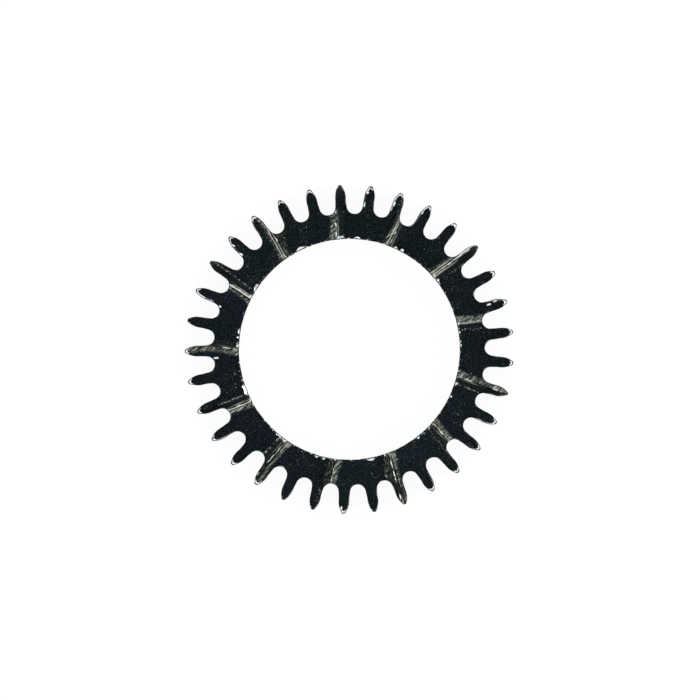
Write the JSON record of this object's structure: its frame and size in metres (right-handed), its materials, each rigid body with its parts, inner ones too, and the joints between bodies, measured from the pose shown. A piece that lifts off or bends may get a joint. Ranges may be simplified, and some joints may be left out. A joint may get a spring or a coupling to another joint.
{
  "type": "watch double gear",
  "caption": "Small one-piece steel gear ring with outer spur teeth, one-way ratchet teeth on its face and a large plain bore.",
  "frame": {"origin": "centre of the bore at the plain back face", "axes": "+Z along the bore axis, out of the face with the ratchet teeth; +X along the middle of an outer tooth, where the crest of one ratchet tooth meets the bore"},
  "size_m": [0.0044, 0.0044, 0.0005],
  "materials": {
    "hardened_steel": "dark polished hardened steel, with lapped grey lands and bright worn edges"
  },
  "bodies": {
    "root": {"double_gear": "hardened_steel"}
  },
  "joints": []
}
